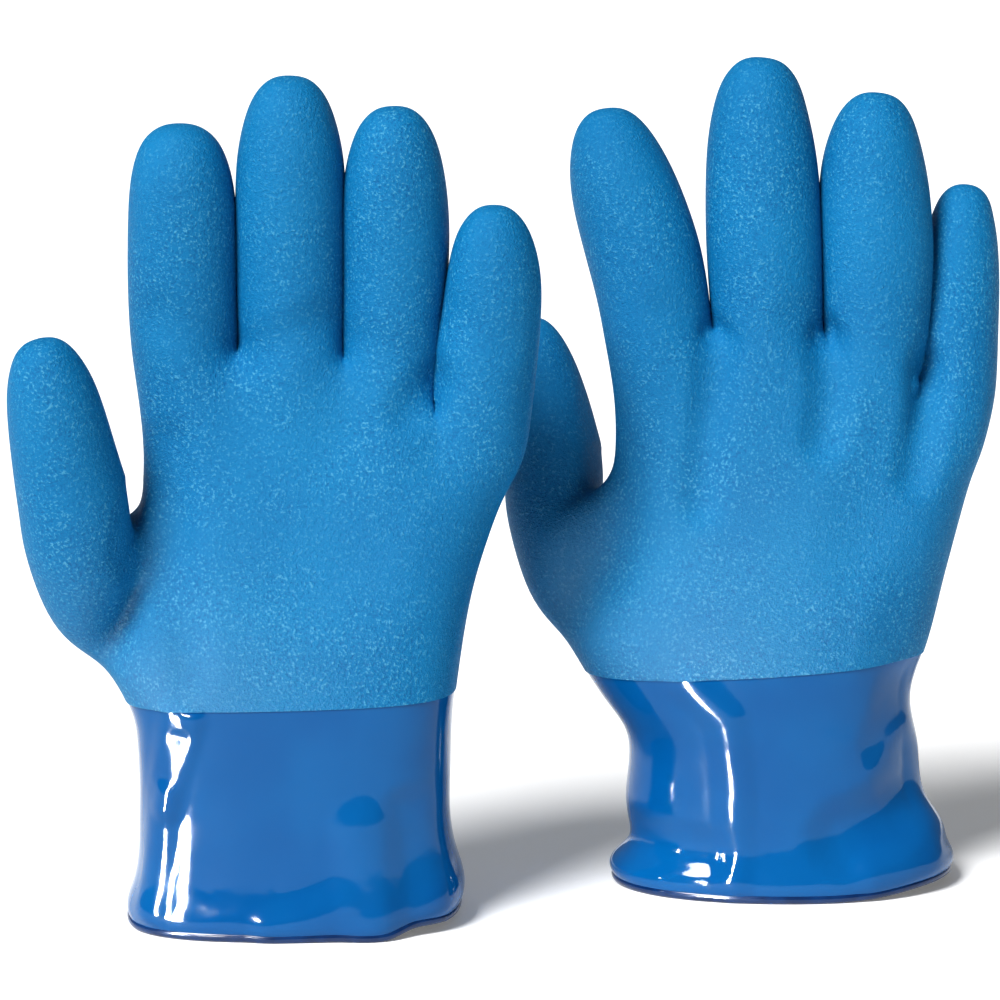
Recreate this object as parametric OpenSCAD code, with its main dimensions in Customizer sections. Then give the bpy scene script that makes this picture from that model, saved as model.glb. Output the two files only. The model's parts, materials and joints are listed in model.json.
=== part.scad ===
// A pair of dipped, thermally lined gloves standing on their cuffs.
// The left glove shows its palm to -Y and the right glove shows its back to -Y.
// Both gloves have the same build: a waterproof shell, a warm lining inside it,
// and finger stalls that bend at two creases each.

/* [Materials] */
// Thickness of the dipped shell
shell_t = 1.3; // [0.8:0.1:2]
// Thickness of the warm lining
lining_t = 3; // [1.5:0.5:3.5]
// Air between the shell and the lining
lining_gap = 0.3; // [0.2:0.1:0.6]
// Clearance between parts that turn on each other
hinge_gap = 0.5; // [0.4:0.1:1]

/* [Cuff] */
// Height of the wrist crease above the rim
wrist_z = 61.5; // [50:0.5:80]
// Width of the glove at the wrist
wrist_w = 99; // [85:1:115]
// Depth of the glove at the wrist
wrist_d = 62; // [50:1:72]
// How far the cuff widens on each side at its rim
flare = 4; // [0:0.5:10]
// Height of the rolled rim
rim_h = 3.2; // [2:0.2:5]
// How far the rolled rim stands out from the cuff
rim_bulge = 1; // [0.4:0.2:2]
// Height of the knitted hem at the mouth of the lining
hem_h = 12; // [6:1:20]

/* [Hand] */
// Shift of the four fingers away from the wrist
palm_stretch = 0; // [-10:1:15]
// Half thickness of the palm at the finger roots
palm_r = 14.5; // [13:0.5:16]
// Radius of the pad below the thumb
thenar_r = 19; // [15:1:22]

/* [Bending] */
// Most that a finger bends at its root
root_bend = 55; // [30:5:60]
// Most that a finger bends at its middle crease
tip_bend = 55; // [30:5:60]
// Most that the wrist bends to each side
wrist_bend = 20; // [10:5:25]

/* [Pair] */
// Distance between the middles of the two cuffs, side to side
pair_x = 152; // [150:1:200]
// Distance between the middles of the two cuffs, front to back
pair_y = 44; // [40:1:120]

/* [Hidden] */
SIDES = ["left", "right"];
DIGITS = ["thumb", "index", "middle", "ring", "little"];

// One row per digit: root hinge [x, y, z], sideways slant and forward lean of the root section,
// slant and lean of the tip section, length of each section, radius, turn of the bending plane.
LEFT_HAND = [
    [[-65.5, -20, 129.5], -13, 12, -12, 18, 25, 30, 14.6, 40],
    [[-32.3, 2, 187.5], -0.5, 3, -0.5, 9, 26, 33.5, 14.6, 0],
    [[-0.3, 2, 188.5], 0.5, 3, 0.5, 8, 30, 43, 15, 0],
    [[29.2, 1, 187.5], 2, 3, 3, 9, 28, 37, 13.8, 0],
    [[57.9, -1, 169.5], 5, 4, 6, 10, 24, 29.5, 12.6, 0],
];
RIGHT_HAND = [
    [[-67, -23, 126.5], -13, 12, -10, 18, 22, 29.5, 14.6, 40],
    [[-40.2, 2, 187.5], -14, 3, -13, 9, 26, 35, 14.6, 0],
    [[-2.8, 2, 188.5], -1.5, 3, -2, 8, 30, 44.5, 15, 0],
    [[30.2, 1, 187.5], 0.5, 3, 0.5, 9, 28, 36.5, 13.8, 0],
    [[57.9, -8, 168.5], 3, 4, 4, 10, 24, 30.5, 12.6, 0],
];
THENAR = [-53, -12, 91.5];

// Shape of each cuff: [share of the wrist height, extra half width, extra half depth, shift in x].
LEFT_CUFF = [[0.1, 1, 1, 1], [0.24, 0.1, 0.1, 0.7], [0.5, -0.7, -0.7, 0.8], [0.82, 0, 0, 0]];
RIGHT_CUFF = [[0.1, 1.1, 1, 1], [0.22, 0.3, 0.4, 0.9], [0.42, -0.6, 0, 0.5], [0.82, -0.4, 0, 0]];
RIM_SHIFT = [0, 3.6];

crotch_drop = 12;      // the webs between the fingers lie this far below the root hinges
tip_roundness = 1.2;   // height of a fingertip's dome over its radius
root_crease = 10.5;    // spare angle of the crease cut in a shell
lining_crease = 19;    // spare angle of the crease cut in a lining
wrist_gap = 0.3;       // clearance at the wrist on top of that of the other hinges
dome_rise = 30;        // the cuff's dome goes this many degrees up inside the hand
WALL = shell_t + lining_gap + lining_t;
LEFT_AT = [-pair_x / 2 + 7.7, -pair_y / 2 - 0.9];
RIGHT_AT = [pair_x / 2 + 7.7, pair_y / 2 - 0.9];
arc_steps = 8;
cuff_sides = 36;
$fn = 48;

function hand_table(side) = side == "left" ? LEFT_HAND : RIGHT_HAND;
function row(side, d) = hand_table(side)[search([d], DIGITS)[0]];
function rise(d) = d == "thumb" ? 0 : palm_stretch;
function root_at(side, d) = row(side, d)[0] + [0, 0, rise(d)];
function slant_dir(slant, lean) = [sin(slant) * cos(lean), -sin(lean), cos(slant) * cos(lean)];
function root_dir(side, d) = slant_dir(row(side, d)[1], row(side, d)[2]);
function middle_at(side, d) = root_at(side, d) + row(side, d)[5] * root_dir(side, d);
function digit_r(side, d) = row(side, d)[7];
function bend_of(d, most) = d == "thumb" ? most * 0.65 : most;
function root_spare(d) = d == "thumb" ? root_crease + 5 : root_crease;
function arc(cx, cz, rx, rz, from, to) =
    [for (i = [0:arc_steps]) let (a = from + (to - from) * i / arc_steps)
        [cx + rx * cos(a), cz + rz * sin(a)]];

// ---- Placing ----

module glove_place(side) {
    at = side == "left" ? LEFT_AT : RIGHT_AT;
    translate([at[0], at[1], 0]) mirror([0, side == "right" ? 1 : 0, 0]) children();
}

module section_place(side, d, part) {
    r = row(side, d);
    root = part == "root";
    translate(root ? root_at(side, d) : middle_at(side, d))
        rotate([0, root ? r[1] : r[3], 0])
            rotate([root ? r[2] : r[4], 0, 0])
                rotate([0, 0, r[8]]) children();
}

// ---- Finger stalls ----

// Removes the palm side next to a hinge, so that the section can bend without meeting its neighbour.
module crease_cut(angle) {
    reach = 40;
    rotate([-angle, 0, 0]) translate([-reach, -reach, -reach]) cube([2 * reach, reach, reach]);
}

// Angle of the crease cut: half of the whole bend, with some to spare.
function crease_angle(bend, rest, spare) = (bend + rest) / 2 + spare;

// How far above a hinge the wall of radius r ends at the hinge's clearance.
function hinge_height(hinge_r, r) = sqrt(pow(hinge_r + hinge_gap, 2) - r * r);

// A tube from one hinge to the next, ending in a dome around the second hinge.
module root_section(r_out, r_in, length, hinge_r, pass_r) {
    foot = hinge_r + hinge_gap;
    rotate_extrude() polygon(concat(
        arc(0, 0, foot, foot, acos(r_in / foot), acos(r_out / foot)),
        arc(0, length, r_out, r_out, 0, acos(pass_r / r_out)),
        arc(0, length, r_in, r_in, acos(pass_r / r_in), 0)
    ));
}

// A plain tube between two hinges, for the lining.
module lining_tube(r_out, r_in, length, hinge_r) {
    foot = hinge_r + hinge_gap;
    rotate_extrude() polygon(concat(
        arc(0, 0, foot, foot, acos(r_in / foot), acos(r_out / foot)),
        [[r_out, length], [r_in, length]]
    ));
}

// The closed end of a stall, from the middle hinge to the fingertip.
module tip_section(r_out, r_in, length, hinge_r, inset) {
    foot = hinge_r + hinge_gap;
    dome_z = max(length - hinge_r * tip_roundness, hinge_height(hinge_r, hinge_r - WALL) + 0.3);
    dome_out = hinge_r * tip_roundness - inset;
    dome_in = dome_out - (r_out - r_in);
    rotate_extrude() polygon(concat(
        arc(0, 0, foot, foot, acos(r_in / foot), acos(r_out / foot)),
        arc(0, dome_z, r_out, dome_out, 0, 90),
        arc(0, dome_z, r_in, dome_in, 90, 0)
    ));
}

module digit_root_shell(side, d) {
    r = digit_r(side, d);
    t = row(side, d);
    difference() {
        root_section(r, r - shell_t, t[5], r, r - WALL);
        crease_cut(crease_angle(bend_of(d, root_bend), 0, root_spare(d)));
    }
}

module digit_root_lining(side, d) {
    r = digit_r(side, d);
    out = r - shell_t - lining_gap;
    t = row(side, d);
    difference() {
        lining_tube(out, out - lining_t, t[5], r);
        crease_cut(crease_angle(bend_of(d, root_bend), 0, lining_crease));
    }
}

module digit_tip_shell(side, d) {
    r = digit_r(side, d);
    t = row(side, d);
    difference() {
        tip_section(r, r - shell_t, t[6], r, 0);
        crease_cut(crease_angle(bend_of(d, tip_bend), t[4] - t[2], root_crease));
    }
}

module digit_tip_lining(side, d) {
    r = digit_r(side, d);
    out = r - shell_t - lining_gap;
    t = row(side, d);
    difference() {
        tip_section(out, out - lining_t, t[6], r, shell_t + lining_gap);
        crease_cut(crease_angle(bend_of(d, tip_bend), t[4] - t[2], lining_crease));
    }
}

// ---- Cuff ----

// One closed wall lofted through rings. Each ring is [z, half width, half depth, shift in x].
module lofted_wall(rings) {
    n = len(rings);
    points = [for (r = rings, k = [0:cuff_sides - 1]) let (a = 360 * k / cuff_sides)
        [r[3] + r[1] * cos(a), r[2] * sin(a), r[0]]];
    faces = [for (i = [0:n - 1], k = [0:cuff_sides - 1])
        let (j = (i + 1) % n, m = (k + 1) % cuff_sides)
        each [
            [i * cuff_sides + k, j * cuff_sides + k, i * cuff_sides + m],
            [i * cuff_sides + m, j * cuff_sides + k, j * cuff_sides + m]
        ]];
    polyhedron(points, faces);
}

function cuff_rings(side, inset) =
    let (shift = RIM_SHIFT[side == "left" ? 0 : 1])
    [for (c = side == "left" ? LEFT_CUFF : RIGHT_CUFF)
        [c[0] * wrist_z, wrist_w / 2 + c[1] * flare - inset, wrist_d / 2 + c[2] * flare - inset, c[3] * shift]];

// The part of the cuff that the hand turns on: an ellipsoid about the wrist hinge.
function dome_rings(inset, from, to) =
    [for (i = [0:4]) let (a = from + (to - from) * i / 4)
        [wrist_z + (wrist_d / 2 - inset) * sin(a), (wrist_w / 2 - inset) * cos(a),
            (wrist_d / 2 - inset) * cos(a), 0]];

function reversed(list) = [for (i = [len(list) - 1:-1:0]) list[i]];
// The ring of the cuff's wall at any height, drawn in by inset.
function wall_at(side, z, inset) =
    let (rings = concat(cuff_rings(side, inset), [[wrist_z, wrist_w / 2 - inset, wrist_d / 2 - inset, 0]]))
    [z, for (k = [1:3]) lookup(z, [for (r = rings) [r[0], r[k]]])];

// The rings of a wall between two heights.
function wall_rings(side, from, to, inset) = concat(
    [wall_at(side, from, inset)],
    [for (r = cuff_rings(side, inset)) if (r[0] > from && r[0] < to) r],
    [wall_at(side, to, inset)]
);

function foot_ring(side, z, grow) =
    let (foot = cuff_rings(side, 0)[0])
    [z, foot[1] + grow, foot[2] + grow, foot[3]];

module cuff_shell(side) {
    lofted_wall(concat(
        [foot_ring(side, rim_h, 0)], cuff_rings(side, 0), dome_rings(0, 0, dome_rise),
        reversed(dome_rings(shell_t, 0, dome_rise)), reversed(cuff_rings(side, shell_t)),
        [foot_ring(side, rim_h, -shell_t)]
    ));
}

module cuff_rim(side) {
    lofted_wall([
        foot_ring(side, 0, -shell_t), foot_ring(side, 0, rim_bulge / 2),
        foot_ring(side, rim_h * 0.3, rim_bulge), foot_ring(side, rim_h * 0.7, rim_bulge),
        foot_ring(side, rim_h, rim_bulge / 2), foot_ring(side, rim_h, -shell_t),
    ]);
}

// A layer of lining inside the cuff's shell.
module cuff_layer(side, from, to) {
    out = shell_t + lining_gap;
    lofted_wall(concat(wall_rings(side, from, to, out), reversed(wall_rings(side, from, to, out + lining_t))));
}

module cuff_lining(side) {
    cuff_layer(side, rim_h + hem_h, wrist_z - hinge_gap);
}

module lining_hem(side) {
    cuff_layer(side, rim_h, rim_h + hem_h - hinge_gap);
}

// ---- Hand ----

module ball(at, r) {
    translate(at) sphere(r = r, $fn = 20);
}

module wrist_plate(inset) {
    translate([0, 0, wrist_z]) scale([wrist_w / 2 - inset, wrist_d / 2 - inset, 1])
        cylinder(r = 1, h = 0.5, $fn = 36);
}

// Solid form of the hand, drawn in by inset: palm, the roots of the four fingers and of the thumb.
module hand_form(side, inset) {
    fingers = [for (d = DIGITS) if (d != "thumb") d];
    drop = crotch_drop + palm_r;
    knuckles = [for (d = fingers) root_at(side, d) - drop * root_dir(side, d)];
    for (i = [0:2]) hull() {
        ball(knuckles[i], palm_r - inset);
        ball(knuckles[i + 1], palm_r - inset);
        wrist_plate(inset);
    }
    for (i = [0:3]) hull() {
        ball(root_at(side, fingers[i]), digit_r(side, fingers[i]) - inset);
        ball(knuckles[i], min(palm_r, digit_r(side, fingers[i])) - inset);
    }
    hull() {
        ball(THENAR, thenar_r - inset);
        ball(knuckles[0], palm_r - inset);
        wrist_plate(inset);
    }
    hull() {
        ball(THENAR, digit_r(side, "thumb") - inset);
        ball(root_at(side, "thumb"), digit_r(side, "thumb") - inset);
    }
}

// What the cuff's dome and the bending wrist need clear.
module wrist_clearance() {
    gap = hinge_gap + wrist_gap;
    translate([0, 0, wrist_z]) {
        scale([wrist_w / 2 + gap, wrist_d / 2 + gap, wrist_d / 2 + gap]) sphere(r = 1, $fn = 40);
        for (back = [0, 1]) mirror([0, back, 0]) translate([0, 0.01, 0]) scale([3, 2, 2])
            crease_cut(wrist_bend + 1);
    }
}

// The ways from the palm into the stalls.
module stall_ways(side) {
    for (d = DIGITS) section_place(side, d, "root")
        cylinder(r = digit_r(side, d) - WALL, h = 30, $fn = 22);
}

module hand_shell(side) {
    difference() {
        hand_form(side, 0);
        hand_form(side, shell_t);
        stall_ways(side);
        wrist_clearance();
    }
}

module hand_lining(side) {
    out = shell_t + lining_gap;
    difference() {
        hand_form(side, out);
        hand_form(side, out + lining_t);
        stall_ways(side);
        wrist_clearance();
    }
}

// ---- Nodes ----

module shell_colour() { color([0.05, 0.42, 0.78]) children(); }
module cuff_colour() { color([0.03, 0.36, 0.7]) children(); }
module lining_colour() { color([0.93, 0.92, 0.88]) children(); }

for (side = SIDES) {
    glove_place(side) cuff_colour() cuff_shell(side);
    glove_place(side) cuff_colour() cuff_rim(side);
    glove_place(side) lining_colour() cuff_lining(side);
    glove_place(side) lining_colour() lining_hem(side);
    glove_place(side) shell_colour() hand_shell(side);
    glove_place(side) lining_colour() hand_lining(side);
    for (d = DIGITS) {
        glove_place(side) section_place(side, d, "root") shell_colour() digit_root_shell(side, d);
        glove_place(side) section_place(side, d, "root") lining_colour() digit_root_lining(side, d);
        glove_place(side) section_place(side, d, "tip") shell_colour() digit_tip_shell(side, d);
        glove_place(side) section_place(side, d, "tip") lining_colour() digit_tip_lining(side, d);
    }
}
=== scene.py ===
import json
import math

import bmesh
import bpy
import numpy as np
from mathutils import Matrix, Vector


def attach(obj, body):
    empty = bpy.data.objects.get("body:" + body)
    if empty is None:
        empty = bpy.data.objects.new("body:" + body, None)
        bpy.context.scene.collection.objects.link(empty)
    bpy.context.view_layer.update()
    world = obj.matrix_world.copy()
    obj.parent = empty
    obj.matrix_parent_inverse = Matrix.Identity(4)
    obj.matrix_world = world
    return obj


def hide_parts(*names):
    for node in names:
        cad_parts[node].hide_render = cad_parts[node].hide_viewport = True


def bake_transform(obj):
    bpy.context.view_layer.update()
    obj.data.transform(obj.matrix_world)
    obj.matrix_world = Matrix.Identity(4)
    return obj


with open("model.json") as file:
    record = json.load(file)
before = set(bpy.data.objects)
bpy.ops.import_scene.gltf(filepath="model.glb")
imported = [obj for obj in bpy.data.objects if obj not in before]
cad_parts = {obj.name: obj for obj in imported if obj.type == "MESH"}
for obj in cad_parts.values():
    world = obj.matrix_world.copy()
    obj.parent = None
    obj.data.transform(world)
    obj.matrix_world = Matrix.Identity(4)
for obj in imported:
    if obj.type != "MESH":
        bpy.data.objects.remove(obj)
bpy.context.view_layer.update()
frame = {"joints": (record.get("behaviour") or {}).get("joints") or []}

MM = 0.001
DIGITS = ["thumb", "index", "middle", "ring", "little"]
hinges = {j["name"]: j for j in frame["joints"]}

# ---------------------------------------------------------------- sizes of the two gloves

# Everything here is in millimetres in the glove's own frame: thumb to -x, palm to -y, fingers up.
COAT = 1.3            # dipped coat
GRIP = 0.35           # the second, rough coat on the hand
AIR = 0.35            # between coat and lining
LINING = 3.0
RIM_OUT, RIM_HIGH = 1.35, 1.45                 # half width and half height of the rolled rim
RIM_IN = 0.45         # how far the rim sits inside the mouth's edge
RIM_STEPS, RIM_SIDES = 208, 16                 # faces along and round the rim
HEM_WALL = 2.4        # knitted hem
HEM_SLACK = 0.3       # the hem hangs this far off the coat, beyond the air gap
HEM_LIFT = 1.6        # its foot ends above the rolled rim
RIBS, RIB_DEPTH = 70, 0.3                      # ribs round the hem, half the height of each

# Rows of cuff and palm from the rim up: height, left side, right side, palm side, back.
ROWS = {
    "left": [
        (1.5, -52.2, 51.4, -33.4, 33.2), (4, -53.2, 52.6, -34.4, 34), (7.5, -52.8, 53.4, -34, 33.6),
        (13, -50.4, 53, -32.8, 32.4), (20, -49.2, 50.6, -32, 31.4), (28, -48.8, 49, -31.4, 30.8),
        (37, -48.6, 48.4, -31, 30.4), (46, -48.6, 48.8, -30.6, 30.2), (55, -49, 49.1, -30.6, 30.2),
        (63, -49.4, 49.3, -30.6, 30), (71, -51.6, 50.3, -30.4, 29.6), (83.5, -59, 52, -29.4, 28),
        (95.5, -55, 53.8, -27.6, 26), (107.5, -50, 56.3, -25.2, 23.6), (119.5, -47.4, 60.1, -22.8, 21.6),
        (131.5, -46.6, 64.4, -20.8, 20), (145.5, -45.4, 68.4, -19.2, 19), (161.5, -46.6, 72.6, -17.4, 18)],
    "right": [
        (1.5, -52, 56.8, -33.6, 33.4), (4, -53.8, 58.4, -34.6, 34.2), (7.5, -53.4, 58.4, -34.2, 33.8),
        (12.5, -46.2, 55.6, -32.8, 32.4), (19, -47.2, 55, -32, 31.6), (27, -48.8, 48.4, -31.6, 31),
        (36, -47.4, 46.6, -31, 30.4), (45, -47, 46.4, -30.6, 30.2), (53, -49.4, 44, -30.6, 30.2),
        (61, -55, 42.8, -30.6, 30), (72.5, -61.6, 47.8, -30.4, 29.6), (84, -68.4, 50.6, -29.4, 28),
        (95.5, -63, 52.8, -27.6, 26), (107.5, -57, 55.4, -25.2, 23.6), (119.5, -54, 58.4, -22.8, 21.6),
        (131.5, -52.4, 61.5, -20.8, 20), (145.5, -51.6, 64.4, -19.2, 19), (161.5, -52.2, 66.9, -17.4, 18)],
}
# Rings of each stall from its root to its tip: x, y, z of the middle, half width, half depth.
RINGS = {
    "left": {
        "thumb": [(-60.5, -8, 107.5, 21.4, 18.4), (-64.8, -15, 120.5, 16.4, 17),
                  (-64.4, -18.8, 131, 17.2, 16.2),
                  (-66.6, -21.8, 142, 16.1, 15.6), (-68.2, -24.6, 152.5, 15.2, 14.8),
                  (-69.6, -27, 162, 14.3, 14),
                  (-71, -29.2, 171, 12.9, 12.6), (-72.2, -31, 178, 10.4, 10.2), (-73, -32.4, 182.6, 7.6, 7.6),
                  (-73.6, -33, 185.6, 0, 0)],
        "index": [(-32.6, 2, 176.5, 16, 15.2), (-32.9, 1.4, 189, 16.4, 15.3), (-33, 0.6, 201, 16.4, 15.3),
                  (-32.8, -0.8, 211, 16.3, 15.2), (-32.6, -2.2, 221, 16.1, 15),
                  (-32.7, -3.5, 230.5, 15.2, 14.6),
                  (-32.9, -4.6, 238, 13.2, 12.8), (-33.1, -5.4, 243.2, 10.4, 10), (-33.1, -5.8, 247.6, 0, 0)],
        "middle": [(0, 2, 178.5, 15.9, 15.4), (0.1, 1.4, 191.5, 16.4, 15.7), (0.1, 0.7, 204, 16.5, 15.8),
                   (0.1, -0.6, 215, 16.5, 15.8), (0.2, -2, 226, 16.4, 15.6), (0.3, -3.4, 236.5, 16, 15.2),
                   (0.3, -4.8, 246, 14.2, 13.6), (0.4, -6, 255, 11.4, 11), (0.6, -6.8, 262, 0, 0)],
        "ring": [(30.4, 1, 173.5, 14.7, 14.8), (31, 0.8, 188, 15.3, 14.9), (31.7, 0.3, 202, 15.9, 15),
                 (32, -0.8, 212, 16.1, 15), (31.9, -2.2, 222, 15.9, 14.8), (31.8, -3.6, 231.5, 15, 14.2),
                 (31.8, -4.9, 240, 13.2, 12.6), (31.7, -6, 247, 10.4, 10), (31.6, -6.6, 252.9, 0, 0)],
        "little": [(57, -0.6, 158, 15.8, 14.6), (58.4, -1.4, 170, 15.8, 14.5), (60, -2.2, 182, 15.4, 14.3),
                   (61.2, -3.2, 191, 14.8, 14), (61.9, -4.4, 199.5, 14.2, 13.4),
                   (61.9, -5.6, 207, 13.1, 12.4),
                   (61.8, -6.7, 213.5, 11.2, 10.8), (61.8, -7.5, 218.2, 8.8, 8.5), (61.8, -8, 223.2, 0, 0)]},
    "right": {
        "thumb": [(-67.5, -8.5, 107, 21.6, 18.4), (-71.2, -16.6, 118.6, 16, 16.4),
                  (-69.6, -20, 128, 16.3, 15.6),
                  (-71.4, -23.6, 137.5, 15, 14.8), (-73.1, -26.2, 146, 14.4, 14.2),
                  (-74.8, -28.8, 154, 13.5, 13.4),
                  (-76.2, -31.2, 161.5, 12.1, 11.9), (-77.4, -33.4, 168.5, 9.8, 9.6),
                  (-78.2, -35, 173.6, 7, 7),
                  (-78.6, -35.8, 177.4, 0, 0)],
        "index": [(-38.2, 2, 176.5, 16.7, 15.4), (-40, 1.4, 189, 17.1, 15.6), (-42.6, 0.6, 200.8, 17.6, 15.8),
                  (-45.7, -0.6, 211, 17.3, 15.6), (-48.8, -2, 220.5, 16.7, 15.2),
                  (-51.5, -3.4, 229.5, 15.2, 14.4),
                  (-53.3, -4.6, 237, 12.8, 12.3), (-54.4, -5.4, 242.8, 9.8, 9.4), (-55, -5.8, 247.8, 0, 0)],
        "middle": [(-4, 2, 178.5, 17, 15.6), (-4.6, 1.4, 191.5, 17.6, 15.9), (-5.2, 0.7, 204, 17.9, 16),
                   (-5.6, -0.6, 215, 17.8, 16), (-5.9, -2, 226, 17.5, 15.8), (-6.5, -3.4, 237, 16.5, 15.4),
                   (-6.8, -4.8, 247, 14.6, 13.9), (-6.5, -6, 256.2, 12, 11.5), (-5.8, -6.8, 263.6, 0, 0)],
        "ring": [(29.8, 1, 174.5, 16.1, 15), (30.2, 0.8, 188.5, 17, 15.1), (30.3, 0.3, 202, 17.5, 15.2),
                 (29.8, -0.8, 212, 17.4, 15.2), (29.2, -2.2, 222, 17.1, 15), (28.9, -3.6, 231.5, 15.8, 14.6),
                 (29.3, -4.9, 240, 13.5, 12.8), (30, -6, 246.8, 10.6, 10.2), (30.6, -6.6, 252.6, 0, 0)],
        "little": [(54.6, -3.6, 158, 14, 13.4), (55.4, -5.4, 169.5, 13.7, 13), (56.2, -7.2, 181, 13.2, 12.8),
                   (56.9, -8.8, 190.5, 12.8, 12.6), (57.4, -10.2, 199.5, 12.1, 12.2),
                   (58, -11.4, 207.5, 10.9, 11),
                   (58.6, -12.4, 214, 9.1, 9.2), (59.2, -13.2, 218.8, 7.4, 7.4), (59.6, -13.7, 223, 0, 0)]},
}
FINGER_AT = {"index": 0, "middle": 3, "ring": 6, "little": 9}   # first column of each stall's block
COLUMNS = 11
TOP_ROW = 18          # the row of the webs
GRIP_ROW = 10         # the grip coat starts here
THUMB_ROWS = (11, 15) # the thumb leaves the side of the palm between these rows
CUFF_FLATNESS = {"left": 3.0, "right": 2.2}
WEB_Z = 179.5         # mean height of the webs between the fingers
THUMB_FROM = (-42.0, 0, 103)                   # the thumb points away from here
FINGER_SWELL, THUMB_SWELL = 1 / 0.9, 1 / 0.955 # the blank is this much wider than the rounded stall
CAP = 0.56            # width of the last ring before a tip, as a share of the ring before it
RIM_CURL = 3.2        # the rim curls up by this at its far end
WEB_REACH, WEB_PASSES = 17, 90                 # how far and how often the thumb's web is smoothed
THUMB_WEB = {"left": (-47.5, -14, 125), "right": (-54.5, -14, 122)}
GRIP_SLOPE = {"left": 0.03, "right": 0.065}
PALM, CUFF, HEM = 1, 0, 12   # the stalls are 2 to 11: root and tip of each


def smooth(t):
    t = min(1.0, max(0.0, t))
    return t * t * (3 - 2 * t)


def mix(a, b, t):
    return a + (b - a) * t


def unit(v):
    return v / np.linalg.norm(v)


# ---------------------------------------------------------------- form of a glove

def stall_point(rings, n, a, b, swell, first=None):
    """A point of ring n at the block position a, b, each from -1 to 1."""
    here = np.array(rings[n][:3], float)
    low = first if first is not None and n == 0 else np.array(rings[max(n - 1, 0)][:3], float)
    along = unit(np.array(rings[min(n + 1, len(rings) - 1)][:3], float) - low)
    across = unit(np.array([along[2], 0, -along[0]]))
    deep = np.cross(along, across)
    w, h = rings[n][3] * swell, rings[n][4] * swell
    if w == 0:                     # the cap closes in on the tip
        w, h = rings[n - 1][3] * CAP * swell, rings[n - 1][4] * CAP * swell
        here = here - along * (0 if a == 0 and b == 0 else 1)
    if abs(a) < 1 and b == 0:
        return here + across * w * a
    if first is None:
        angle = math.atan2(b, a)
    else:                          # the thumb's block has four faces on each side
        angle = math.radians(90 - 60 * a) * (1 if b > 0 else -1) if b else (0 if a > 0 else math.pi)
    return here + across * w * math.cos(angle) + deep * h * math.sin(angle)


def web_row(side, i, j):
    """A point of the row where the fingers leave the palm."""
    for digit, start in FINGER_AT.items():
        if start <= i <= start + 2:
            p = stall_point(RINGS[side][digit], 0, i - start - 1, j - 1, FINGER_SWELL)
            if digit == "ring":    # the web to the little finger lies lower than the others
                p[2] -= max(0.0, p[0] - RINGS[side][digit][0][0]) * 0.62
            return p


def row_point(side, i, j, k):
    """A point of the cuff or palm."""
    if k == TOP_ROW:
        return web_row(side, i, j)
    z, left, right, front, back = ROWS[side][k]
    middle, half = (left + right) / 2, (right - left) / 2
    deep, depth_mid = (back - front) / 2, (back + front) / 2
    even = math.cos(math.pi * (1 - (i + 1) / 13))            # even steps round the cuff
    top = [web_row(side, c, 0)[0] for c in range(COLUMNS + 1)]
    spread = (top[i] - top[0]) / (top[-1] - top[0]) * 1.93 - 0.965
    u = mix(even, spread, smooth((z - 55) / 110))
    flat = CUFF_FLATNESS[side]
    power = mix(flat, 2.7, smooth((z - 60) / 60))
    if j == 1:
        x, y = (left if i == 0 else right), depth_mid
    else:
        x = middle + half * u
        y = depth_mid + (1 if j == 2 else -1) * deep * (1 - abs(u) ** power) ** (1 / power)
    p = np.array([x, y, z], float)
    p[2] += GRIP_SLOPE[side] * x * max(0.0, 1 - abs(k - GRIP_ROW) / 3)
    p[2] += RIM_CURL * smooth((x - 22) / 30) * max(0.0, 1 - k / 5)    # the rim curls up at one end
    if k > THUMB_ROWS[1]:
        root, base = web_row(side, i, j), ROWS[side][THUMB_ROWS[1]][0]
        t = (z - base) / (WEB_Z - base)
        p[2] = mix(base, root[2], t)
        p[1] = mix(p[1], root[1], t ** 1.6)
        if j != 1:
            p[0] = mix(p[0], root[0], t)
    return p


def place(side, i, j, k):
    """Where a corner of the blank goes on the glove."""
    if i < 0:
        s = (k - sum(THUMB_ROWS) / 2) / 2
        return stall_point(RINGS[side]["thumb"], -i - 1, s, j - 1, THUMB_SWELL, np.array(THUMB_FROM))
    if k <= TOP_ROW:
        return row_point(side, i, j, k)
    for digit, start in FINGER_AT.items():
        if start <= i <= start + 2:
            return stall_point(RINGS[side][digit], k - TOP_ROW, i - start - 1, j - 1, FINGER_SWELL)


def region(c):
    """Which piece a face of the blank belongs to: cuff, palm, or root and tip of each stall."""
    if c[0] < 0:
        n = -c[0] - 1.5
        return PALM if n < 0.5 else 2 if n < 2.5 else 3
    if c[2] < 3:
        return HEM
    if c[2] < GRIP_ROW:
        return CUFF
    if c[2] <= TOP_ROW:
        return PALM
    d = next(n for n, digit in enumerate(DIGITS[1:], 1) if FINGER_AT[digit] <= c[0] <= FINGER_AT[digit] + 2)
    return 2 + 2 * d + (0 if c[2] - TOP_ROW < 2 else 1)


# ---------------------------------------------------------------- modelling

def deselect():
    bpy.ops.object.select_all(action="DESELECT")


def pick(obj):
    deselect()
    bpy.context.view_layer.objects.active = obj
    obj.select_set(True)


def pick_faces(obj, test):
    bm = bmesh.from_edit_mesh(obj.data)
    bpy.ops.mesh.select_all(action="DESELECT")
    for f in bm.faces:
        if test(f):
            f.select_set(True)
    bmesh.update_edit_mesh(obj.data)


def push(steps, by):
    for _ in range(steps):
        bpy.ops.mesh.extrude_region_move(TRANSFORM_OT_translate={"value": by})


def copy_of(obj, name):
    pick(obj)
    bpy.ops.object.duplicate()
    new = bpy.context.object
    new.name = new.data.name = name
    return new


def drop(obj):
    bpy.data.objects.remove(obj, do_unlink=True)


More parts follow.
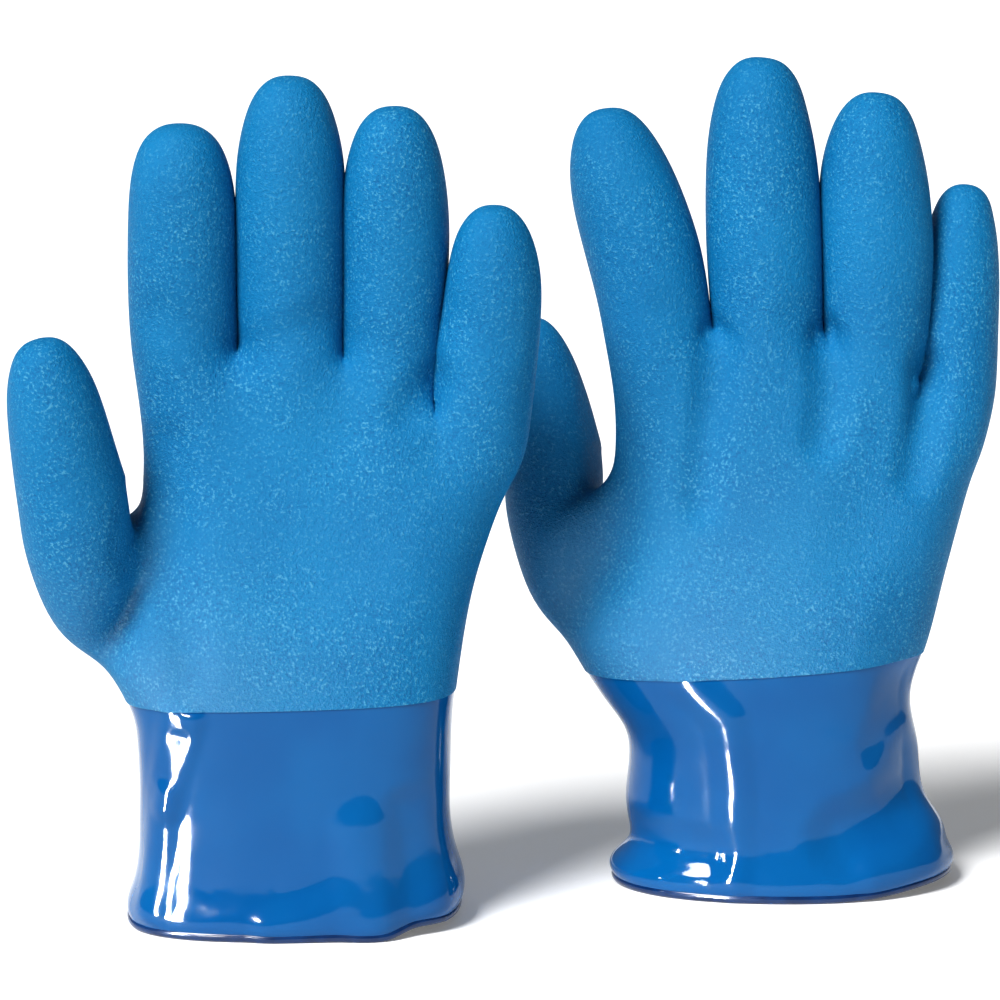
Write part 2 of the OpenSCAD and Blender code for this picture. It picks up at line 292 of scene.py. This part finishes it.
def apply(obj, kind, **settings):
    pick(obj)
    m = obj.modifiers.new(kind, kind)
    for key, value in settings.items():
        setattr(m, key, value)
    bpy.ops.object.modifier_apply(modifier=m.name)


def points_of(obj):
    co = np.empty(len(obj.data.vertices) * 3, np.float32)
    obj.data.vertices.foreach_get("co", co)
    return co.reshape(-1, 3).astype(float)


def normals_of(obj):
    no = np.empty(len(obj.data.vertices) * 3, np.float32)
    obj.data.vertices.foreach_get("normal", no)
    return no.reshape(-1, 3).astype(float)


def put_points(obj, co):
    obj.data.vertices.foreach_set("co", co.astype(np.float32).ravel())
    obj.data.update()


def glove_blank(side):
    """A block with one step to each corner: a palm with five stalls pushed out of it."""
    deselect()
    bpy.ops.mesh.primitive_grid_add(x_subdivisions=COLUMNS, y_subdivisions=2, size=1)
    obj = bpy.context.object
    bpy.ops.object.mode_set(mode="EDIT")
    bpy.ops.mesh.select_mode(type="FACE")
    bpy.ops.mesh.select_all(action="SELECT")
    bpy.ops.transform.resize(value=(COLUMNS, 2, 1), center_override=(0, 0, 0))
    bpy.ops.transform.translate(value=(COLUMNS / 2, 1, 0))
    push(TOP_ROW, (0, 0, 1))
    pick_faces(obj, lambda f: f.calc_center_median().z < 0.01)
    bpy.ops.mesh.delete(type="FACE")
    for start in FINGER_AT.values():
        pick_faces(obj, lambda f: abs(f.calc_center_median().z - TOP_ROW) < 0.01
                   and start < f.calc_center_median().x < start + 2)
        push(8, (0, 0, 1))
    pick_faces(obj, lambda f: abs(f.calc_center_median().x) < 0.01
               and THUMB_ROWS[0] < f.calc_center_median().z < THUMB_ROWS[1])
    push(10, (-1, 0, 0))
    bpy.ops.mesh.select_all(action="SELECT")
    bpy.ops.mesh.normals_make_consistent(inside=False)
    bpy.ops.object.mode_set(mode="OBJECT")
    for _ in range(13):
        obj.data.materials.append(None)
    for f in obj.data.polygons:
        f.material_index = region(f.center)
    for v in obj.data.vertices:
        v.co = place(side, *(round(c) for c in v.co))
    return obj


def soften(obj, at, reach, times):
    """Rounds the skin round one point, as between thumb and palm."""
    pick(obj)
    bpy.ops.object.mode_set(mode="EDIT")
    bpy.ops.mesh.select_mode(type="FACE")
    centre = Vector(at)
    pick_faces(obj, lambda f: (f.calc_center_median() - centre).length < reach)
    bpy.ops.mesh.vertices_smooth(factor=0.5, repeat=times)
    bpy.ops.object.mode_set(mode="OBJECT")


def work(obj, strokes):
    """Presses folds into a glove, one stroke at a time."""
    co, no = points_of(obj), normals_of(obj)
    for face, path, reach, depth in strokes:
        flat = co[:, [0, 2]]
        near = np.full(len(co), 1e9)
        for a, b in zip(path, path[1:]):
            a, b = np.array(a, float), np.array(b, float)
            t = np.clip(((flat - a) @ (b - a)) / max((b - a) @ (b - a), 1e-9), 0, 1)
            near = np.minimum(near, np.linalg.norm(flat - a - t[:, None] * (b - a), axis=1))
        fall = np.clip(1 - (near / reach) ** 2, 0, 1) ** 2
        turned = no[:, 1] * (-1 if face == "palm" else 1)
        fall *= np.clip((turned - 0.05) / 0.45, 0, 1)
        co -= no * (fall * depth)[:, None]
    put_points(obj, co)


def settle(obj, side):
    """Puts a piece modelled in the glove's frame into the frame of the pair, in metres."""
    wrist = hinges[f"{side}_wrist_bend"]["pos_m"]
    co = points_of(obj) * MM
    if side == "right":
        co[:, 1] *= -1
        obj.data.flip_normals()
    put_points(obj, co + [wrist[0], wrist[1], 0])


def keep_region(obj, numbers):
    """Leaves only the faces of one piece."""
    bpy.context.view_layer.objects.active = obj
    bpy.ops.object.mode_set(mode="EDIT")
    bpy.ops.mesh.select_mode(type="FACE")
    pick_faces(obj, lambda f: f.material_index not in numbers)
    bpy.ops.mesh.delete(type="FACE")
    bpy.ops.object.mode_set(mode="OBJECT")


def remember_normals(obj):
    """Keeps the normals of the whole glove, so that its pieces meet without a line."""
    keep = obj.data.attributes.new("whole_normal", "FLOAT_VECTOR", "POINT")
    keep.data.foreach_set("vector", normals_of(obj).astype(np.float32).ravel())


def recalled_normals(obj):
    no = np.empty(len(obj.data.vertices) * 3, np.float32)
    obj.data.attributes["whole_normal"].data.foreach_get("vector", no)
    return no.reshape(-1, 3).astype(float)


def skin(whole, name, numbers, out, thick):
    """One piece of a layer: a region of the glove, moved out by one distance and given a wall inwards."""
    obj = copy_of(whole, name)
    keep_region(obj, numbers)
    no = recalled_normals(obj)
    put_points(obj, points_of(obj) + no * out)
    count = len(obj.data.vertices)
    obj.data.materials.clear()
    apply(obj, "SOLIDIFY", thickness=thick, offset=-1, use_even_offset=False, use_quality_normals=True)
    pick(obj)
    bpy.ops.object.shade_smooth()
    no = recalled_normals(obj)
    no[count:] *= -1
    faces = obj.data.polygons
    loops = np.empty(len(obj.data.loops), np.int32)
    obj.data.loops.foreach_get("vertex_index", loops)
    custom = no[loops]
    for f in faces:
        corners = loops[f.loop_start:f.loop_start + f.loop_total]
        if (corners < count).any() and (corners >= count).any():
            custom[f.loop_start:f.loop_start + f.loop_total] = f.normal
    obj.data.normals_split_custom_set(custom.tolist())
    obj.data.attributes.remove(obj.data.attributes["whole_normal"])
    return obj


def rim_bead(whole, side):
    """The rolled edge: a thick ring laid along the mouth of the cuff."""
    co = points_of(whole)
    edge_use = {}
    for f in whole.data.polygons:
        for key in f.edge_keys:
            edge_use[key] = edge_use.get(key, 0) + 1
    mouth = sorted({v for key, n in edge_use.items() if n == 1 for v in key})
    ring = co[mouth]
    middle = ring.mean(0)
    turn = np.arctan2(ring[:, 1] - middle[1], ring[:, 0] - middle[0])
    order = np.argsort(turn)
    turn, ring = turn[order], ring[order]
    deselect()
    thin = 0.2
    bpy.ops.mesh.primitive_torus_add(major_segments=RIM_STEPS, minor_segments=RIM_SIDES,
                                     major_radius=1, minor_radius=thin)
    obj = bpy.context.object
    obj.name = obj.data.name = f"{side}_rim"
    pts = points_of(obj)
    angle = np.arctan2(pts[:, 1], pts[:, 0])
    radial = np.hypot(pts[:, 0], pts[:, 1]) - 1
    base = np.stack([np.interp(angle, turn, ring[:, c], period=2 * math.pi) for c in range(3)], 1)
    outward = base - middle
    outward[:, 2] = 0
    outward /= np.linalg.norm(outward, axis=1)[:, None]
    new = base + outward * (radial[:, None] / thin * RIM_OUT - RIM_IN) * MM
    new[:, 2] = base[:, 2] + pts[:, 2] / thin * RIM_HIGH * MM
    put_points(obj, new)
    pick(obj)
    bpy.ops.object.shade_smooth()
    return obj


def hem_band(whole, side):
    """The knitted band inside the mouth of the cuff, with a rib every few millimetres."""
    obj = copy_of(whole, f"{side}_hem")
    keep_region(obj, (HEM,))
    apply(obj, "SUBSURF", levels=1, subdivision_type="SIMPLE")
    co, no = points_of(obj), recalled_normals(obj)
    no[:, 2] = 0
    no /= np.linalg.norm(no, axis=1)[:, None]
    middle = co.mean(0)
    turn = np.arctan2((co[:, 1] - middle[1]) * 1.5, co[:, 0] - middle[0])
    ribs = RIB_DEPTH * np.cos(turn * RIBS)
    low = co[:, 2].min()
    co[:, 2] = np.maximum(co[:, 2], low + HEM_LIFT * MM)
    put_points(obj, co + no * ((ribs - COAT - AIR - HEM_SLACK) * MM)[:, None])
    obj.data.materials.clear()
    obj.data.attributes.remove(obj.data.attributes["whole_normal"])
    apply(obj, "SOLIDIFY", thickness=HEM_WALL * MM, offset=-1)
    pick(obj)
    bpy.ops.object.shade_smooth_by_angle(angle=math.radians(50))
    return obj


# ---------------------------------------------------------------- finish

class Socket:
    """A value of a shader that can be calculated with."""

    def __init__(self, graph, socket):
        self.graph, self.socket = graph, socket

    def math(self, operation, other):
        return self.graph.node("ShaderNodeMath", {"operation": operation}, {0: self, 1: other})

    def __add__(self, other):
        return self.math("ADD", other)

    def __mul__(self, other):
        return self.math("MULTIPLY", other)

    def range(self, low, high, to_low=0.0, to_high=1.0):
        return self.graph.node("ShaderNodeMapRange", {"interpolation_type": "SMOOTHSTEP"},
                               {0: self, 1: low, 2: high, 3: to_low, 4: to_high})


class Graph:
    """The nodes of one material."""

    def __init__(self, name):
        self.material = bpy.data.materials.new(name)
        self.material.use_nodes = True
        self.tree = self.material.node_tree
        self.shader = self.tree.nodes["Principled BSDF"]
        self.place = self.node("ShaderNodeTexCoord", {}, {}, "Object")

    def node(self, kind, settings, values, out=0):
        n = self.tree.nodes.new(kind)
        for key, value in settings.items():
            setattr(n, key, value)
        for key, value in values.items():
            if isinstance(value, Socket):
                self.tree.links.new(value.socket, n.inputs[key])
            else:
                n.inputs[key].default_value = value
        return Socket(self, n.outputs[out])

    def noise(self, size, detail=2.0, rough=0.5):
        return self.node("ShaderNodeTexNoise", {}, {"Vector": self.place, "Scale": 1 / (size * MM),
                                                    "Detail": detail, "Roughness": rough}, "Fac")

    def tufts(self, size):
        values = {"Vector": self.place, "Scale": 1 / (size * MM)}
        return self.node("ShaderNodeTexVoronoi", {}, values, "Distance")

    def blend(self, a, b, share):
        return self.node("ShaderNodeMix", {"data_type": "RGBA"}, {0: share, 6: a, 7: b}, 2)

    def bump(self, height, depth):
        values = {"Height": height, "Distance": depth * MM, "Strength": 1.0}
        self.connect("Normal", self.node("ShaderNodeBump", {}, values, "Normal"))

    def connect(self, name, value):
        self.tree.links.new(value.socket, self.shader.inputs[name])

    def set(self, **constants):
        for key, value in constants.items():
            self.shader.inputs[key.replace("_", " ")].default_value = value


def sandy_coat():
    g = Graph("rough_grip_coat")
    fine = g.noise(0.45, 3, 0.65)
    sand = g.noise(0.9, 3, 0.6)
    drift = g.noise(26, 2, 0.5).range(0.35, 0.65)
    pits = sand.range(0.47, 0.36)
    grains = sand.range(0.55, 0.66)
    base = g.blend((0.0012, 0.172, 0.385, 1), (0.003, 0.192, 0.415, 1), g.noise(40, 2, 0.5).range(0.3, 0.7))
    base = g.blend(base, (0.0008, 0.085, 0.250, 1), pits * (drift * 0.3 + 0.2))
    base = g.blend(base, (0.100, 0.380, 0.560, 1), grains * (drift * 0.4 + 0.3))
    g.connect("Base Color", base)
    g.connect("Roughness", fine * 0.25 + 0.40)
    g.bump(sand + fine * 0.35, 0.5)
    g.set(Specular_IOR_Level=0.2)
    return g.material


def glossy_coat():
    g = Graph("glossy_cuff_coat")
    ripple = g.noise(12, 2, 0.4)
    g.connect("Base Color", g.blend((0.0004, 0.088, 0.270, 1), (0.0009, 0.102, 0.295, 1),
                                    g.noise(30, 2, 0.5).range(0.3, 0.7)))
    g.connect("Roughness", ripple.range(0.3, 0.7, 0.07, 0.13))
    g.bump(ripple, 0.3)
    g.set(Specular_IOR_Level=0.32)
    return g.material


def painted_shade_rim():
    # The rim's dark blue is painted shade: it stands in for the shadow under the rolled edge.
    g = Graph("painted_shade_rim_finish")
    g.connect("Base Color", g.blend((0.001, 0.022, 0.09, 1), (0.002, 0.032, 0.12, 1),
                                    g.noise(8).range(0.4, 0.6)))
    g.set(Roughness=0.2)
    return g.material


def fleece():
    g = Graph("warm_fleece")
    locks = g.noise(1.6, 4, 0.65)
    pile = g.tufts(1.1)
    g.connect("Base Color", g.blend((0.60, 0.58, 0.52, 1), (0.86, 0.84, 0.78, 1), locks.range(0.3, 0.65)))
    g.bump(locks + pile * 0.6, 0.9)
    g.set(Roughness=0.95, Sheen_Weight=0.4, Sheen_Roughness=0.6)
    return g.material


def ribbed_knit():
    g = Graph("ribbed_knit")
    yarn = g.noise(0.8, 3, 0.6)
    g.connect("Base Color", g.blend((0.52, 0.52, 0.50, 1), (0.78, 0.77, 0.74, 1), yarn.range(0.3, 0.7)))
    g.bump(yarn, 0.4)
    g.set(Roughness=0.9)
    return g.material


# ---------------------------------------------------------------- the gloves

# Folds pressed into each glove: side of the hand, path of x and z, reach, depth. A ridge has a depth below 0.
FOLDS = {
    "left": [
        ("palm", [(-16, 176), (-26, 183), (-38, 190)], 11, 1.3),           # roots of the fingers
        ("palm", [(-6, 181), (8, 188)], 10, 1.3),
        ("palm", [(22, 182), (36, 178)], 10, 1),
        ("palm", [(43, 170), (36, 161)], 10, 2),
        ("palm", [(50, 190), (64, 182)], 10, 0.8),
        ("palm", [(-37, 150), (-35, 128), (-34, 106), (-30, 84)], 11, 2),   # round the thumb
        ("palm", [(0, 140), (10, 118)], 34, 1.8),                          # hollow of the palm
        ("back", [(-17, 172), (-17, 156)], 9, 2.2), ("back", [(16, 172), (16, 156)], 9, 2.2),
        ("back", [(44, 160), (42, 142)], 9, 2.2),
        ("palm", [(-36, 70), (-38.5, 50), (-40.5, 30), (-44, 8)], 6.5, -1.5),    # folds of the cuff
        ("palm", [(-30, 68), (-35, 52), (-38, 40)], 6, -1.4),
        ("palm", [(-34, 62), (-37.5, 50)], 5, 1.2),
        ("palm", [(22, 34), (26, 4)], 13, -1.4), ("palm", [(36, 40), (38, 4)], 10, 1.6),
        ("palm", [(-6, 4), (14, 12)], 9, -0.9),
        ("back", [(-20, 60), (-26, 20)], 14, 1.6), ("back", [(15, 50), (22, 14)], 13, 1.4)],
    "right": [
        ("back", [(-20, 176), (-21.5, 160), (-24, 142), (-25, 126)], 10, 2.9),   # between the knuckles
        ("back", [(14, 176), (15, 160), (13, 146)], 10, 2.7),
        ("back", [(46, 168), (45, 152), (42, 134)], 10, 2.7),
        ("back", [(-37, 186), (-28, 180)], 10, 0.9), ("back", [(4, 184), (12, 178)], 10, 0.9),
        ("back", [(-54, 150), (-51, 128), (-53, 104)], 13, 1.4),
        ("back", [(34, 144), (26, 112)], 20, 1.4),
        ("back", [(42, 100), (36, 72)], 15, 1.2),
        ("palm", [(-21, 176), (-22, 168)], 9, 1.2), ("palm", [(13, 176), (13, 168)], 9, 1.2),
        ("palm", [(43, 168), (40, 158)], 10, 1.8),
        ("palm", [(-42, 150), (-40, 128), (-35, 84)], 11, 2), ("palm", [(0, 140), (10, 118)], 34, 1.8),
        ("back", [(46, 40), (36, 27), (20, 21)], 15, 3.6),                  # buckle of the cuff
        ("back", [(40, 66), (34, 50)], 12, 1.8),
        ("back", [(48, 12), (30, 9)], 9, -1.4),
        ("back", [(-30, 70), (-17, 58), (-14, 36), (-15, 8)], 8, -1.4),
        ("back", [(-44, 18), (-22, 16)], 10, 1.2),
        ("palm", [(-20, 60), (-26, 20)], 14, 1.8), ("palm", [(20, 46), (30, 16)], 14, 1.8)],
}

# Distances before and after each hinge, in metres.
WRIST_REACH, ROOT_REACH, TIP_REACH = 0.022, (0.010, 0.012), 0.011

grip, gloss, rim_shade_paint, warm, knit = sandy_coat(), glossy_coat(), painted_shade_rim(), fleece(), ribbed_knit()


def carry(obj, node, material, side, n):
    """Gives a piece its material, hides the part it stands for and bakes its placement into its mesh."""
    obj.data.materials.clear()
    obj.data.materials.append(material)
    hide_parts(node)
    if n <= PALM:
        wrist = np.array(hinges[f"{side}_wrist_bend"]["pos_m"])
        low, high = wrist - [0, 0, WRIST_REACH], wrist + [0, 0, WRIST_REACH]
        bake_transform(obj)
        return
    digit = DIGITS[n // 2 - 1]
    root = np.array(hinges[f"{side}_{digit}_root_bend"]["pos_m"])
    middle = np.array(hinges[f"{side}_{digit}_tip_bend"]["pos_m"])
    along = unit(middle - root)
    if n % 2 == 0:
        low, high = root - along * ROOT_REACH[0], root + along * ROOT_REACH[1]
        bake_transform(obj)
    else:
        low, high = middle - along * TIP_REACH, middle + along * TIP_REACH
        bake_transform(obj)


for side in ("left", "right"):
    blank = glove_blank(side)
    whole = copy_of(blank, f"{side}_whole")
    apply(whole, "SUBSURF", levels=3)
    soften(whole, THUMB_WEB[side], WEB_REACH, WEB_PASSES)
    work(whole, FOLDS[side])
    settle(whole, side)
    pick(whole)
    bpy.ops.object.shade_smooth()
    remember_normals(whole)

    for n in range(12):
        if n == CUFF:
            node = f"{side}_cuff_shell"
        elif n == PALM:
            node = f"{side}_hand_shell"
        else:
            node = f"{side}_{DIGITS[n // 2 - 1]}_{('root', 'tip')[n % 2]}_shell"
        numbers, rough = ((CUFF, HEM), 0) if n == CUFF else ((n,), GRIP)
        coat = skin(whole, node.replace("_shell", "_coat"), numbers, rough * MM, (COAT + rough) * MM)
        carry(coat, node, gloss if n == CUFF else grip, side, n)
        fleece_piece = skin(whole, node.replace("_shell", "_fleece"), (n,), -(COAT + AIR) * MM, LINING * MM)
        carry(fleece_piece, node.replace("_shell", "_lining"), warm, side, n)
    hem = hem_band(whole, side)
    carry(hem, f"{side}_lining_hem", knit, side, CUFF)
    bead = rim_bead(whole, side)
    # the bead takes the rim finish whose dark blue is painted shade for the shadow under the rolled edge
    bead.data.materials.append(rim_shade_paint)
    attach(bead, f"{side}_cuff")
    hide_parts(f"{side}_cuff_rim")
    for spare in (blank, whole):
        drop(spare)

# ---------------------------------------------------------------- studio

deselect()
bpy.ops.mesh.primitive_plane_add(size=8, location=(0, 2.0, 0))
floor = bpy.context.object
floor.name = "studio_floor"
pale = bpy.data.materials.new("pale_floor")
pale.use_nodes = True
paint = pale.node_tree.nodes["Principled BSDF"]
paint.inputs["Base Color"].default_value = (0.95, 0.95, 0.95, 1)
paint.inputs["Roughness"].default_value = 0.8
paint.inputs["Emission Color"].default_value = (1, 1, 1, 1)
paint.inputs["Emission Strength"].default_value = 0.12
floor.data.materials.append(pale)

world = bpy.data.worlds.new("studio")
bpy.context.scene.world = world
world.use_nodes = True
sky = world.node_tree.nodes["Background"]
sky.inputs["Color"].default_value = (1, 1, 1, 1)
sky.inputs["Strength"].default_value = 0.16


def shine_strip(name, at, aim, size, glow):
    """A soft strip near the gloves that only their wet-looking cuffs mirror."""
    data = bpy.data.lights.new(name, "AREA")
    data.shape = "RECTANGLE"
    data.size, data.size_y = size
    data.energy = glow * size[0] * size[1] * math.pi
    data.spread = math.radians(80)
    light = bpy.data.objects.new(name, data)
    bpy.context.scene.collection.objects.link(light)
    light.location = at
    light.rotation_euler = (Vector(aim) - Vector(at)).to_track_quat("-Z", "Y").to_euler()
    light.visible_camera = False
    light.visible_diffuse = False


sun = bpy.data.lights.new("key_light", "SUN")
sun.energy = 4.0
sun.angle = math.radians(22)
key = bpy.data.objects.new("key_light", sun)
bpy.context.scene.collection.objects.link(key)
key.rotation_euler = Vector((0.60, 0.78, -1.08)).to_track_quat("-Z", "Y").to_euler()
shine_strip("left_strip", (-0.176, -0.125, 0.040), (-0.103, -0.049, 0.040), (0.018, 0.078), 40)
shine_strip("right_strip", (0.002, -0.134, 0.040), (0.063, -0.008, 0.040), (0.024, 0.076), 40)
shine_strip("far_strip", (-0.50, -1.00, 0.25), (0.02, 0, 0.02), (0.16, 0.05), 40)

camera = bpy.data.objects.new("camera", bpy.data.cameras.new("camera"))
bpy.context.scene.collection.objects.link(camera)
bpy.context.scene.camera = camera
camera.data.sensor_width = 36
camera.data.lens = 155.5
camera.location = (-0.0046, -1.3304, 0.3619)
camera.rotation_euler = (math.radians(80), 0, 0)
bpy.context.scene.view_settings.view_transform = "Standard"
bpy.context.scene.view_settings.look = "Medium High Contrast"
